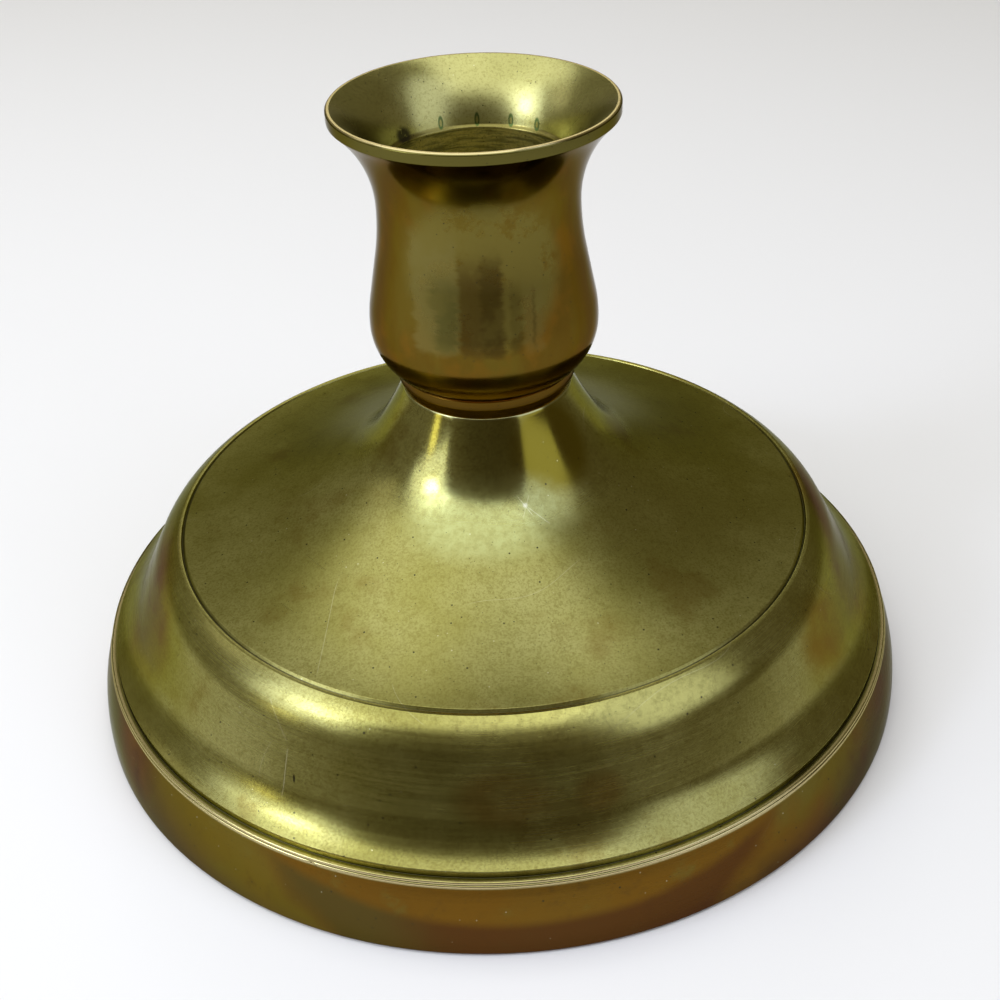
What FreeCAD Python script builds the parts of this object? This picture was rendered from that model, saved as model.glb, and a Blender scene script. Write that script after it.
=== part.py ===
import FreeCAD, Part
import math
import os
import re

import Sketcher

# A low brass candlestick: a turned cup bolted to the neck of a hollow, moulded base.
# Millimetres, +Z up, origin on the table under the centre of the foot.

SIZES = {
    # Base: its whole height, foot wall and the flat ring that it stands on
    "base_height": 47.45,
    "foot_radius": 60.0,
    "foot_height": 10.05,
    "foot_flare_width": 2.2,
    "foot_wall_radius": 23.0,
    "foot_edge_width": 0.5,
    "stand_width": 3.6,
    "stand_height": 3.0,
    # Base: two fine reeds, and the ledge between them and the shoulder
    "reed_height": 0.475,
    "reed_depth": 0.24,
    "reed_bevel_height": 0.14,
    "reed_setback_width": 0.15,
    "ledge_depth": 0.15,
    "ledge_width": 0.75,
    "shoulder_height": 1.0,
    # Base: hollow moulding, steep riser and rounded rim of the shoulder
    "cavetto_width": 4.3,
    "cavetto_height": 4.55,
    "riser_width": 3.2,
    "riser_height": 6.15,
    "rim_width": 3.85,
    "rim_height": 4.2,
    # Base: ridge and incised line at the dish's edge
    "ridge_width": 0.45,
    "quirk_width": 0.6,
    "quirk_depth": 0.38,
    "quirk_bottom_width": 0.2,
    "quirk_side_height": 0.127,
    # Base: neck, swept out into the dish
    "neck_radius": 11.5,
    "neck_height": 7.2,
    "neck_flare_width": 4.1,
    "neck_hollow_radius": 51.0,
    "sweep_width": 6.0,
    "sweep_height": 5.55,
    # Base: wall of the casting, what it measures along +Z where it slants, and the neck's boss
    "wall": 3.0,
    "wall_slant": 1.5,
    "boss_depth": 7.8,
    "core_dish_radius": 62.0,
    # Joint: the cup's spigot in the neck's recess
    "spigot_radius": 7.5,
    "spigot_length": 1.2,
    "spigot_clearance": 0.1,
    "recess_depth": 1.5,
    # Cup: collar with one fine turned line above it
    "collar_radius": 12.05,
    "collar_height": 2.7,
    "collar_bevel_width": 0.55,
    "collar_bevel_height": 1.55,
    "line_width": 0.4,
    "line_depth": 0.22,
    # Cup: belly, waist and flare
    "belly_radius": 15.16,
    "belly_height": 9.05,
    "belly_undercut_width": 2.8,
    "crown_width": 0.34,
    "crown_height": 3.5,
    "taper_width": 1.22,
    "taper_height": 6.1,
    "waist_width": 0.66,
    "waist_height": 6.7,
    "flare_width": 4.96,
    "flare_height": 11.1,
    # Cup: flat-edged lip, funnel and candle bore
    "lip_height": 1.4,
    "lip_width": 0.55,
    "lip_edge_width": 0.22,
    "funnel_depth": 7.4,
    "funnel_hollow_radius": 15.2,
    "bore_radius": 11.65,
    "bore_step_width": 0.35,
    "bore_depth": 20.0,
    "bore_corner_width": 1.2,
    "floor_thickness": 2.2,
    # Stud: threaded rod from the cup's floor down through the neck
    "stud_radius": 3.0,
    "stud_chamfer": 0.5,
    "stud_tail_length": 2.2,
    "tap_run_out_depth": 1.2,
    "thread_clearance": 0.05,
    "passage_clearance": 0.3,
    # Washer
    "washer_radius": 6.0,
    "washer_thickness": 1.6,
    "washer_clearance": 0.2,
    "washer_edge": 0.2,
    # Nut
    "nut_across_flats": 10.0,
    "nut_height": 5.0,
    "nut_corner_height": 0.5,
    "nut_corner_width": 0.9,
    # How far a cut runs past the face that it opens
    "overrun": 1.0,
}

NUT_SIDES = 6
FULL_TURN = 360

doc = FreeCAD.newDocument("Candlestick")
sheet = doc.addObject("Spreadsheet::Sheet", "Sizes")
for row, (alias, value) in enumerate(SIZES.items(), start=1):
    sheet.set(f"A{row}", alias)
    sheet.set(f"B{row}", str(value))
    sheet.setAlias(f"B{row}", alias)
doc.recompute()


# Reading the sheet
def bound(expression):
    """Point every size that an expression names at its cell in the sheet."""
    def cell(word):
        return "Sizes." + word[0] if word[0] in SIZES else word[0]
    return re.sub(r"[a-z_]+", cell, expression)


def amount(expression):
    """The expression's present value, in millimetres."""
    return float(sheet.evalExpression(bound(expression)))


# Outlines: closed rings of (radius, height) points joined by lines and arcs. Step i runs from
# point i to the next and is "line", "smooth" for an arc tangent to the step before it, "into" for
# an arc tangent to the step after it, or an arc's radius, with a minus where that arc turns right.
def centre_from_tangent(touch, other, heading):
    """Centre of the arc that is tangent to heading at touch and passes through other."""
    left = FreeCAD.Vector(-heading.y, heading.x, 0)
    chord = other - touch
    return touch + left * (chord.Length ** 2 / (2 * left.dot(chord)))


def centre_from_radius(start, finish, radius):
    """Centre of the arc of a signed radius: positive turns left on its way to finish."""
    chord = finish - start
    left = FreeCAD.Vector(-chord.y, chord.x, 0).normalize()
    reach = math.sqrt(radius ** 2 - (chord.Length / 2) ** 2)
    return (start + finish) / 2 + left * math.copysign(reach, radius)


def heading_at(point, centre, turns_left):
    spoke = (point - centre).normalize()
    return FreeCAD.Vector(-spoke.y, spoke.x, 0) if turns_left else FreeCAD.Vector(spoke.y, -spoke.x, 0)


def find_centres(corners, steps):
    """Each step's centre, None for a line: first what stands alone, then what follows on, then
    what leads in."""
    alone = [index for index, step in enumerate(steps) if step not in ("smooth", "into")]
    after = [index for index, step in enumerate(steps) if step == "smooth"]
    before = [index for index, step in enumerate(steps) if step == "into"][::-1]
    centres, first_heading, last_heading = {}, {}, {}
    for index in alone + after + before:
        start, finish, step = corners[index], corners[index + 1], steps[index]
        if step == "line":
            centres[index] = None
            first_heading[index] = last_heading[index] = (finish - start).normalize()
            continue
        if step == "smooth":
            centre = centre_from_tangent(start, finish, last_heading[index - 1])
        elif step == "into":
            centre = centre_from_tangent(finish, start, first_heading[index + 1])
        else:
            centre = centre_from_radius(start, finish, amount(step))
        turns_left = (start - centre).cross(finish - centre).z > 0
        centres[index] = centre
        first_heading[index] = heading_at(start, centre, turns_left)
        last_heading[index] = heading_at(finish, centre, turns_left)
    return centres


def add_step(sketch, start, finish, centre):
    """Add one line or arc; return its number and which of its ends are start and finish. An arc
    runs counter-clockwise from its first end to its second, whichever way the outline goes."""
    first, second = 1, 2
    if centre is None:
        return sketch.addGeometry(Part.LineSegment(start, finish)), first, second
    turns_left = (start - centre).cross(finish - centre).z > 0
    near, far = (start, finish) if turns_left else (finish, start)
    circle = Part.Circle(centre, FreeCAD.Vector(0, 0, 1), (start - centre).Length)
    near_angle = math.atan2(near.y - centre.y, near.x - centre.x)
    far_angle = math.atan2(far.y - centre.y, far.x - centre.x)
    edge = sketch.addGeometry(Part.ArcOfCircle(circle, near_angle, far_angle))
    return (edge, first, second) if turns_left else (edge, second, first)


def drive(sketch, kind, *where, expression):
    """Add a dimension and bind it to the sheet."""
    index = sketch.addConstraint(Sketcher.Constraint(kind, *where, amount(expression)))
    sketch.setExpression(f"Constraints[{index}]", bound(expression))


def pin_point(sketch, edge, end, radius, height):
    """Fix a point by its dimensions, or on the sketch's own axis where one is zero."""
    radius_axis, turning_axis = -1, -2
    if radius == "0":
        sketch.addConstraint(Sketcher.Constraint("PointOnObject", edge, end, turning_axis))
    else:
        drive(sketch, "DistanceX", edge, end, expression=radius)
    if height == "0":
        sketch.addConstraint(Sketcher.Constraint("PointOnObject", edge, end, radius_axis))
    else:
        drive(sketch, "DistanceY", edge, end, expression=height)


def draw_outline(sketch, points, steps):
    corners = [FreeCAD.Vector(amount(radius), amount(height), 0) for radius, height in points]
    corners.append(corners[0])
    centres = find_centres(corners, steps)
    edges = [add_step(sketch, corners[i], corners[i + 1], centres[i]) for i in range(len(steps))]
    for index, step in enumerate(steps):
        edge, near, far = edges[index]
        last_edge, last_near, last_far = edges[index - 1]
        flows = step == "smooth" or steps[index - 1] == "into"
        kind = "Tangent" if flows else "Coincident"
        sketch.addConstraint(Sketcher.Constraint(kind, last_edge, last_far, edge, near))
        pin_point(sketch, edge, near, *points[index])
        if step not in ("line", "smooth", "into"):
            drive(sketch, "Radius", edge, expression=step.lstrip("-"))


# Features
def new_body(name, seat="0"):
    """A body whose own zero height stands at seat."""
    body = doc.addObject("PartDesign::Body", name)
    body.Label = name
    body.setExpression("Placement.Base.z", bound(seat))
    return body


def origin_plane(body, role):
    return next(feature for feature in body.Origin.OriginFeatures if feature.Role == role)


def turn(body, name, points, steps, kind="PartDesign::Revolution"):
    """Turn an outline about +Z."""
    sketch = body.newObject("Sketcher::SketchObject", name + "_outline")
    sketch.AttachmentSupport = (origin_plane(body, "XZ_Plane"), "")
    sketch.MapMode = "FlatFace"
    draw_outline(sketch, points, steps)
    doc.recompute()
    feature = body.newObject(kind, name)
    feature.Profile = sketch
    feature.ReferenceAxis = (sketch, ["V_Axis"])
    feature.Angle = FULL_TURN
    body.Tip = feature
    doc.recompute()


def turn_away(body, name, points, steps):
    """Turn an outline as a cut, and insist that it takes metal off."""
    before = body.Shape.Volume
    turn(body, name, points, steps, kind="PartDesign::Groove")
    if body.Shape.Volume >= before:
        raise RuntimeError(name + " takes nothing off")


def lines(points):
    return ["line"] * len(points)


def bore(body, name, radius, bottom, top):
    """A round hole on the axis."""
    points = [("0", bottom), (radius, bottom), (radius, top), ("0", top)]
    turn_away(body, name, points, lines(points))


# Points of the base that its outside and its hollow both follow
REED_FOOT = ("(foot_radius - foot_flare_width)", "foot_height")
REED_MIDDLE = (f"({REED_FOOT[0]} - reed_setback_width)", "(foot_height + reed_height)")
REED_TOP = (f"({REED_MIDDLE[0]} - reed_setback_width)", f"({REED_MIDDLE[1]} + reed_height)")
LEDGE = f"({REED_TOP[1]} - ledge_depth)"
SHOULDER = (f"({REED_TOP[0]} - ledge_width)", f"({LEDGE} + shoulder_height)")
RISER_FOOT = (f"({SHOULDER[0]} - cavetto_width)", f"({SHOULDER[1]} + cavetto_height)")
RISER_HEAD = (f"({RISER_FOOT[0]} - riser_width)", f"({RISER_FOOT[1]} + riser_height)")
RIDGE = (f"({RISER_HEAD[0]} - rim_width)", f"({RISER_HEAD[1]} + rim_height)")
RIDGE_INSIDE = f"({RIDGE[0]} - ridge_width)"
NECK_FOOT = ("(neck_radius + neck_flare_width)", "(base_height - neck_height)")
SWEEP_FOOT = (f"({NECK_FOOT[0]} + sweep_width)", f"({NECK_FOOT[1]} - sweep_height)")

# Heights of the fixings inside the base
BOSS_FACE = "(base_height - boss_depth)"
WASHER_FACE = f"({BOSS_FACE} - washer_thickness)"
NUT_FACE = f"({WASHER_FACE} - nut_height)"
STUD_FOOT = f"({NUT_FACE} - stud_tail_length)"

# Points of the cup, measured from its seat on the neck
BELLY = ("belly_radius", "belly_height")
TAPER_FOOT = ("(belly_radius - crown_width)", "(belly_height + crown_height)")
TAPER_HEAD = (f"({TAPER_FOOT[0]} - taper_width)", f"({TAPER_FOOT[1]} + taper_height)")
WAIST = (f"({TAPER_HEAD[0]} - waist_width)", f"({TAPER_HEAD[1]} + waist_height)")
LIP = (f"({WAIST[0]} + flare_width)", f"({WAIST[1]} + flare_height)")
LIP_TOP = f"({LIP[1]} + lip_height)"
BORE_MOUTH = f"({LIP_TOP} - funnel_depth - bore_step_width)"
BORE_FLOOR = f"({BORE_MOUTH} - bore_depth)"
TAP_END = f"({BORE_FLOOR} - floor_thickness)"


def build_base():
    """One casting: neck, dish, shoulder and foot, turned outside and hollow underneath."""
    base = new_body("base")
    outside = [
        (("0", "base_height"), "line"),
        (("neck_radius", "base_height"), "neck_hollow_radius"),
        (NECK_FOOT, "smooth"),
        (SWEEP_FOOT, "smooth"),
        ((RIDGE_INSIDE, RIDGE[1]), "line"),
        (RIDGE, "into"),
        (RISER_HEAD, "line"),
        (RISER_FOOT, "smooth"),
        (SHOULDER, "line"),
        ((SHOULDER[0], LEDGE), "line"),
        ((REED_TOP[0], LEDGE), "line"),
        (REED_TOP, "line"),
        ((f"{REED_TOP[0]} + reed_depth", f"{REED_TOP[1]} - reed_bevel_height"), "line"),
        ((f"{REED_TOP[0]} + reed_depth", f"{REED_MIDDLE[1]} + reed_bevel_height"), "line"),
        (REED_MIDDLE, "line"),
        ((f"{REED_MIDDLE[0]} + reed_depth", f"{REED_MIDDLE[1]} - reed_bevel_height"), "line"),
        ((f"{REED_MIDDLE[0]} + reed_depth", f"{REED_FOOT[1]} + reed_bevel_height"), "line"),
        (REED_FOOT, "-foot_wall_radius"),
        (("foot_radius", "foot_edge_width"), "line"),
        (("foot_radius - foot_edge_width", "0"), "line"),
        (("0", "0"), "line"),
    ]
    turn(base, "casting", [point for point, step in outside], [step for point, step in outside])
    hollow = [
        (("0", BOSS_FACE), "line"),
        ((f"{NECK_FOOT[0]} - wall", BOSS_FACE), "line"),
        ((f"{SWEEP_FOOT[0]} - wall_slant", f"{SWEEP_FOOT[1]} - wall"), "core_dish_radius"),
        ((f"{RIDGE[0]} - wall", f"{RIDGE[1]} - wall"), "line"),
        ((f"{RISER_HEAD[0]} - wall", f"{RISER_HEAD[1]} - wall_slant"), "line"),
        ((f"{RISER_FOOT[0]} - wall", f"{RISER_FOOT[1]} - wall_slant"), "line"),
        ((f"{SHOULDER[0]} - wall", LEDGE), "line"),
        (("foot_radius - stand_width", "stand_height"), "line"),
        (("foot_radius - stand_width", "-overrun"), "line"),
        (("0", "-overrun"), "line"),
    ]
    turn_away(base, "hollow", [point for point, step in hollow], [step for point, step in hollow])
    quirk = [
        (RIDGE_INSIDE, f"{RIDGE[1]} + overrun"),
        (RIDGE_INSIDE, RIDGE[1]),
        (f"{RIDGE_INSIDE} - quirk_bottom_width", f"{RIDGE[1]} - quirk_depth"),
        (f"{RIDGE_INSIDE} - quirk_width", f"{RIDGE[1]} + quirk_side_height"),
        (f"{RIDGE_INSIDE} - quirk_width", f"{RIDGE[1]} + overrun"),
    ]
    turn_away(base, "incised_line", quirk, lines(quirk))
    bore(base, "spigot_recess", "spigot_radius + spigot_clearance", "base_height - recess_depth",
         "base_height + overrun")
    bore(base, "stud_passage", "stud_radius + passage_clearance", f"{BOSS_FACE} - overrun",
         "base_height")
    return base


def build_cup():
    """One turned piece, seated at its own zero height, with a spigot below it."""
    cup = new_body("candle_cup", seat="base_height")
    outline = [
        (("0", "-spigot_length"), "line"),
        (("spigot_radius", "-spigot_length"), "line"),
        (("spigot_radius", "0"), "line"),
        (("collar_radius - collar_bevel_width", "0"), "line"),
        (("collar_radius", "collar_bevel_height"), "line"),
        (("collar_radius", "collar_height"), "line"),
        (("collar_radius - line_depth", "collar_height + line_width / 2"), "line"),
        (("belly_radius - belly_undercut_width", "collar_height + line_width"), "into"),
        (BELLY, "into"),
        (TAPER_FOOT, "line"),
        (TAPER_HEAD, "smooth"),
        (WAIST, "smooth"),
        (LIP, "line"),
        ((LIP[0], f"{LIP_TOP} - lip_edge_width"), "line"),
        ((f"{LIP[0]} - lip_edge_width", LIP_TOP), "line"),
        ((f"{LIP[0]} - lip_width", LIP_TOP), "funnel_hollow_radius"),
        (("bore_radius + bore_step_width", f"{BORE_MOUTH} + bore_step_width"), "line"),
        (("bore_radius", BORE_MOUTH), "line"),
        (("bore_radius", f"{BORE_FLOOR} + bore_corner_width"), "line"),
        (("bore_radius - bore_corner_width", BORE_FLOOR), "line"),
        (("0", BORE_FLOOR), "line"),
    ]
    turn(cup, "turned_cup", [point for point, step in outline], [step for point, step in outline])
    bore(cup, "tapped_hole", "stud_radius + thread_clearance", "-spigot_length - overrun", TAP_END)
    return cup


def build_stud():
    """The rod, standing on its own lower end."""
    stud = new_body("tie_stud", seat=STUD_FOOT)
    length = f"(base_height + {TAP_END} - tap_run_out_depth - {STUD_FOOT})"
    outline = [
        ("0", "0"),
        ("stud_radius - stud_chamfer", "0"),
        ("stud_radius", "stud_chamfer"),
        ("stud_radius", f"{length} - stud_chamfer"),
        ("stud_radius - stud_chamfer", length),
        ("0", length),
    ]
    turn(stud, "rod", outline, lines(outline))
    return stud


def build_washer():
    washer = new_body("plain_washer", seat=WASHER_FACE)
    outline = [
        ("stud_radius + washer_clearance", "0"),
        ("washer_radius - washer_edge", "0"),
        ("washer_radius", "washer_edge"),
        ("washer_radius", "washer_thickness"),
        ("stud_radius + washer_clearance", "washer_thickness"),
    ]
    turn(washer, "ring", outline, lines(outline))
    return washer


def build_nut():
    """A hexagon with its corners turned off above and below."""
    nut = new_body("hex_nut", seat=NUT_FACE)
    corner = "nut_across_flats / sqrt(3)"
    prism = nut.newObject("PartDesign::AdditivePrism", "hexagon")
    prism.Polygon = NUT_SIDES
    prism.setExpression("Circumradius", bound(corner))
    prism.setExpression("Height", bound("nut_height"))
    nut.Tip = prism
    doc.recompute()
    for name, face, inward, outward in (
        ("lower_corners", "0", "nut_corner_height", "-overrun"),
        ("upper_corners", "nut_height", "nut_height - nut_corner_height", "nut_height + overrun"),
    ):
        outline = [
            (f"{corner} - nut_corner_width", face),
            (corner, inward),
            (f"{corner} + overrun", inward),
            (f"{corner} + overrun", outward),
            (f"{corner} - nut_corner_width", outward),
        ]
        turn_away(nut, name, outline, lines(outline))
    bore(nut, "threaded_hole", "stud_radius + thread_clearance", "-overrun", "nut_height + overrun")
    return nut


def check(pieces):
    """Stop before anything is written if a feature failed or a solid isn't whole."""
    for item in doc.Objects:
        if "Invalid" in item.State or "Error" in item.State:
            raise RuntimeError(f"{item.Name} failed: {item.State}")
    for piece in pieces:
        if piece.Shape.isNull() or not piece.Shape.isValid() or len(piece.Shape.Solids) != 1:
            raise RuntimeError(piece.Label + " isn't one valid solid")


pieces = [build_base(), build_cup(), build_stud(), build_washer(), build_nut()]
doc.recompute()
check(pieces)
os.makedirs("parts", exist_ok=True)
for piece in pieces:
    piece.Shape.exportStep(os.path.join("parts", piece.Label + ".step"))
    box = piece.Shape.optimalBoundingBox(False)
    print(f"{piece.Label}: {piece.Shape.Volume:.1f} mm3,", end=" ")
    print(f"x to {box.XMax:.2f}, z {box.ZMin:.2f} to {box.ZMax:.2f}")
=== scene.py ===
import math

import bmesh
import bpy
from mathutils import Matrix, Vector


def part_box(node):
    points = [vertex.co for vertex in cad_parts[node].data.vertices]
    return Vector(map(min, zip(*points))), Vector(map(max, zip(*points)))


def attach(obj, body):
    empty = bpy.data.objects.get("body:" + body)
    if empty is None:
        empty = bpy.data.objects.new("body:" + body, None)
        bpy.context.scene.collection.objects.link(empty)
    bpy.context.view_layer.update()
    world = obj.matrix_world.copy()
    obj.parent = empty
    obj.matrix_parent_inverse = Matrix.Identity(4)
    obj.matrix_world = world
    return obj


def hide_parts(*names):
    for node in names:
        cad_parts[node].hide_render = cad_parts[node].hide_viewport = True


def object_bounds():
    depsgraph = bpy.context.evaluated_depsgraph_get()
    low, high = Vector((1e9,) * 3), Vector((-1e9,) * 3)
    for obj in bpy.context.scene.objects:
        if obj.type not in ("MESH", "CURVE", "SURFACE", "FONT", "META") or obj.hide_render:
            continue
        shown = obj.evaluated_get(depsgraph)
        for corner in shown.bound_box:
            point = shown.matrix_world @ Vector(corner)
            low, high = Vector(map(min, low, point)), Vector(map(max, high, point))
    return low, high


# A low brass candlestick: a turned cup bolted to the neck of a hollow, moulded base.
# Outlines are in millimetres, everything in Blender is in metres, +Z up, origin under the foot.

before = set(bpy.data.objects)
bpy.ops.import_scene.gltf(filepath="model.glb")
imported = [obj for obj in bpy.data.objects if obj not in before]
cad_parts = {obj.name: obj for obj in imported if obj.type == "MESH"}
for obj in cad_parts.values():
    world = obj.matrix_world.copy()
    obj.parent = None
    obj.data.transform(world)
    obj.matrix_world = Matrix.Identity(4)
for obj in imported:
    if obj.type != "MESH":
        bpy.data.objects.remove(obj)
cad_low, cad_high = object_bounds()
MM = 0.001

# What the frame gives: lowest and highest corners in metres, then two sizes in millimetres
_, base_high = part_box("base")
stud_low, stud_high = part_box("tie_stud")
washer_low, washer_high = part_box("plain_washer")
nut_low, nut_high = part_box("hex_nut")
FOOT_RADIUS = base_high.x / MM
SEAT = base_high.z / MM

# How finely outlines are drawn: longest step along an arc, most that it turns, steps round a corner
# and round the axis
ARC_STEP = 0.7
ARC_TURN = math.radians(4)
CORNER_STEPS = 4
TURN_STEPS = 288
# Most of a neighbouring line that a rounded corner takes, and the radius that counts as the axis
CORNER_ROOM = 0.45
ON_AXIS = 1e-6


# Outlines: points joined by lines and arcs, in the (radius, height) plane
def cross(a, b):
    return a.x * b.y - a.y * b.x


def centre_from_tangent(touch, other, heading):
    """Centre of the arc that is tangent to heading at touch and passes through other."""
    left = Vector((-heading.y, heading.x))
    chord = other - touch
    return touch + left * (chord.length_squared / (2 * left.dot(chord)))


def centre_from_radius(start, finish, radius):
    """Centre of the arc of a signed radius: positive turns left on its way to finish."""
    chord = finish - start
    left = Vector((-chord.y, chord.x)).normalized()
    reach = math.sqrt(radius ** 2 - (chord.length / 2) ** 2)
    return (start + finish) / 2 + left * math.copysign(reach, radius)


def heading_at(point, centre, turns_left):
    spoke = (point - centre).normalized()
    return Vector((-spoke.y, spoke.x)) if turns_left else Vector((spoke.y, -spoke.x))


def find_centres(corners, steps):
    """Each step's centre, None for a line: first what stands alone, then what follows on, then
    what leads in."""
    alone = [i for i, step in enumerate(steps) if step not in ("smooth", "into")]
    after = [i for i, step in enumerate(steps) if step == "smooth"]
    before = [i for i, step in enumerate(steps) if step == "into"][::-1]
    centres, first_heading, last_heading = {}, {}, {}
    for i in alone + after + before:
        start, finish, step = corners[i], corners[(i + 1) % len(corners)], steps[i]
        if step == "line":
            centres[i] = None
            first_heading[i] = last_heading[i] = (finish - start).normalized()
            continue
        if step == "smooth":
            centre = centre_from_tangent(start, finish, last_heading[i - 1])
        elif step == "into":
            centre = centre_from_tangent(finish, start, first_heading[i + 1])
        else:
            centre = centre_from_radius(start, finish, step)
        turns_left = cross(start - centre, finish - centre) > 0
        centres[i] = centre
        first_heading[i] = heading_at(start, centre, turns_left)
        last_heading[i] = heading_at(finish, centre, turns_left)
    return centres


def points_on(start, finish, centre):
    """Points from start towards finish, without finish."""
    if centre is None:
        return [start]
    spoke = start - centre
    sweep = math.atan2(cross(spoke, finish - centre), spoke.dot(finish - centre))
    count = math.ceil(max(abs(sweep) * spoke.length / ARC_STEP, abs(sweep) / ARC_TURN))
    found = []
    for i in range(count):
        angle = sweep * i / count
        turned = Vector((spoke.x * math.cos(angle) - spoke.y * math.sin(angle),
                         spoke.x * math.sin(angle) + spoke.y * math.cos(angle)))
        found.append(centre + turned)
    return found


def round_off(before, corner, after, radius):
    """Points that round a corner, as far as its neighbours leave room."""
    inward = (before - corner).normalized()
    outward = (after - corner).normalized()
    half_turn = (math.pi - inward.angle(outward)) / 2
    room = CORNER_ROOM * min((before - corner).length, (after - corner).length)
    reach = min(radius * math.tan(half_turn), room)
    first, last = corner + inward * reach, corner + outward * reach
    found = []
    for i in range(CORNER_STEPS + 1):
        share = i / CORNER_STEPS
        found.append(first.lerp(corner, share).lerp(corner.lerp(last, share), share))
    return found


def trace(outline, closed):
    """An outline's dense points, and for each the material zone of the step that leaves it.
    Each row is radius, height, step, corner radius, zone."""
    corners = [Vector((row[0], row[1])) for row in outline]
    steps = [row[2] for row in outline]
    if not closed:
        steps = steps[:-1]
    centres = find_centres(corners, steps)
    rough = []
    for i, row in enumerate(outline):
        if i >= len(steps):
            rough.append((corners[i], 0, row[4]))
            continue
        spots = points_on(corners[i], corners[(i + 1) % len(corners)], centres[i])
        rough += [(spot, row[3] if k == 0 else 0, row[4]) for k, spot in enumerate(spots)]
    dense, zones = [], []
    for i, (spot, radius, zone) in enumerate(rough):
        if radius:
            found = round_off(rough[i - 1][0], spot, rough[(i + 1) % len(rough)][0], radius)
        else:
            found = [spot]
        dense += found
        zones += [zone] * len(found)
    return dense, zones


# Meshes
def new_mesh(name, verts, faces, face_slots, materials):
    mesh = bpy.data.meshes.new(name)
    mesh.from_pydata(verts, [], faces)
    for material in materials:
        mesh.materials.append(material)
    mesh.polygons.foreach_set("material_index", face_slots)
    mesh.polygons.foreach_set("use_smooth", [True] * len(faces))
    mesh.update()
    piece = bpy.data.objects.new(name, mesh)
    bpy.context.scene.collection.objects.link(piece)
    return piece


def face_outwards(piece):
    build = bmesh.new()
    build.from_mesh(piece.data)
    bmesh.ops.recalc_face_normals(build, faces=build.faces)
    build.to_mesh(piece.data)
    build.free()


def even_angles(count):
    return [math.tau * i / count for i in range(count)]


def turned_point(radius, angle, height):
    """A point round +Z, from millimetres to metres."""
    return (radius * math.cos(angle) * MM, radius * math.sin(angle) * MM, height * MM)


def wall_faces(low, high, steps):
    """Faces between two rings of points, each ring given by its first index."""
    faces = []
    for k in range(steps):
        after = (k + 1) % steps
        faces.append((low + k, low + after, high + after, high + k))
    return faces


def lathe(name, outline, closed, materials, angles=None, shape=None):
    """Turn an outline about +Z. shape moves a point: it takes radius, height, angle and gives
    radius, height. An open outline starts and ends on the axis."""
    points, zones = trace(outline, closed)
    angles = angles or even_angles(TURN_STEPS)
    verts, rings = [], []
    for point in points:
        if point.x < ON_AXIS:
            rings.append([len(verts)] * len(angles))
            verts.append((0, 0, point.y * MM))
            continue
        rings.append(list(range(len(verts), len(verts) + len(angles))))
        for angle in angles:
            radius, height = shape(point.x, point.y, angle) if shape else (point.x, point.y)
            verts.append(turned_point(radius, angle, height))
    faces, slots = [], []
    count = len(rings) if closed else len(rings) - 1
    for i in range(count):
        low, high = rings[i], rings[(i + 1) % len(rings)]
        for k in range(len(angles)):
            after = (k + 1) % len(angles)
            corners = dict.fromkeys((low[k], low[after], high[after], high[k]))
            faces.append(tuple(corners))
            slots.append(zones[i])
    piece = new_mesh(name, verts, faces, slots, materials)
    face_outwards(piece)
    weigh = piece.modifiers.new("even_shading", "WEIGHTED_NORMAL")
    weigh.keep_sharp = False
    return piece


# Materials
# Share of a speck's and of a scratch's half-width that is solid, and of a scratch's length that fades
SPECK_CORE = 0.6
SCRATCH_CORE = 0.2
SCRATCH_FADE = 0.08
# Hairs are kept where a second noise, this much finer, rises through these values
HAIR_CUT_SCALE = 2.2
HAIR_CUT = (0.58, 0.64)


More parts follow.
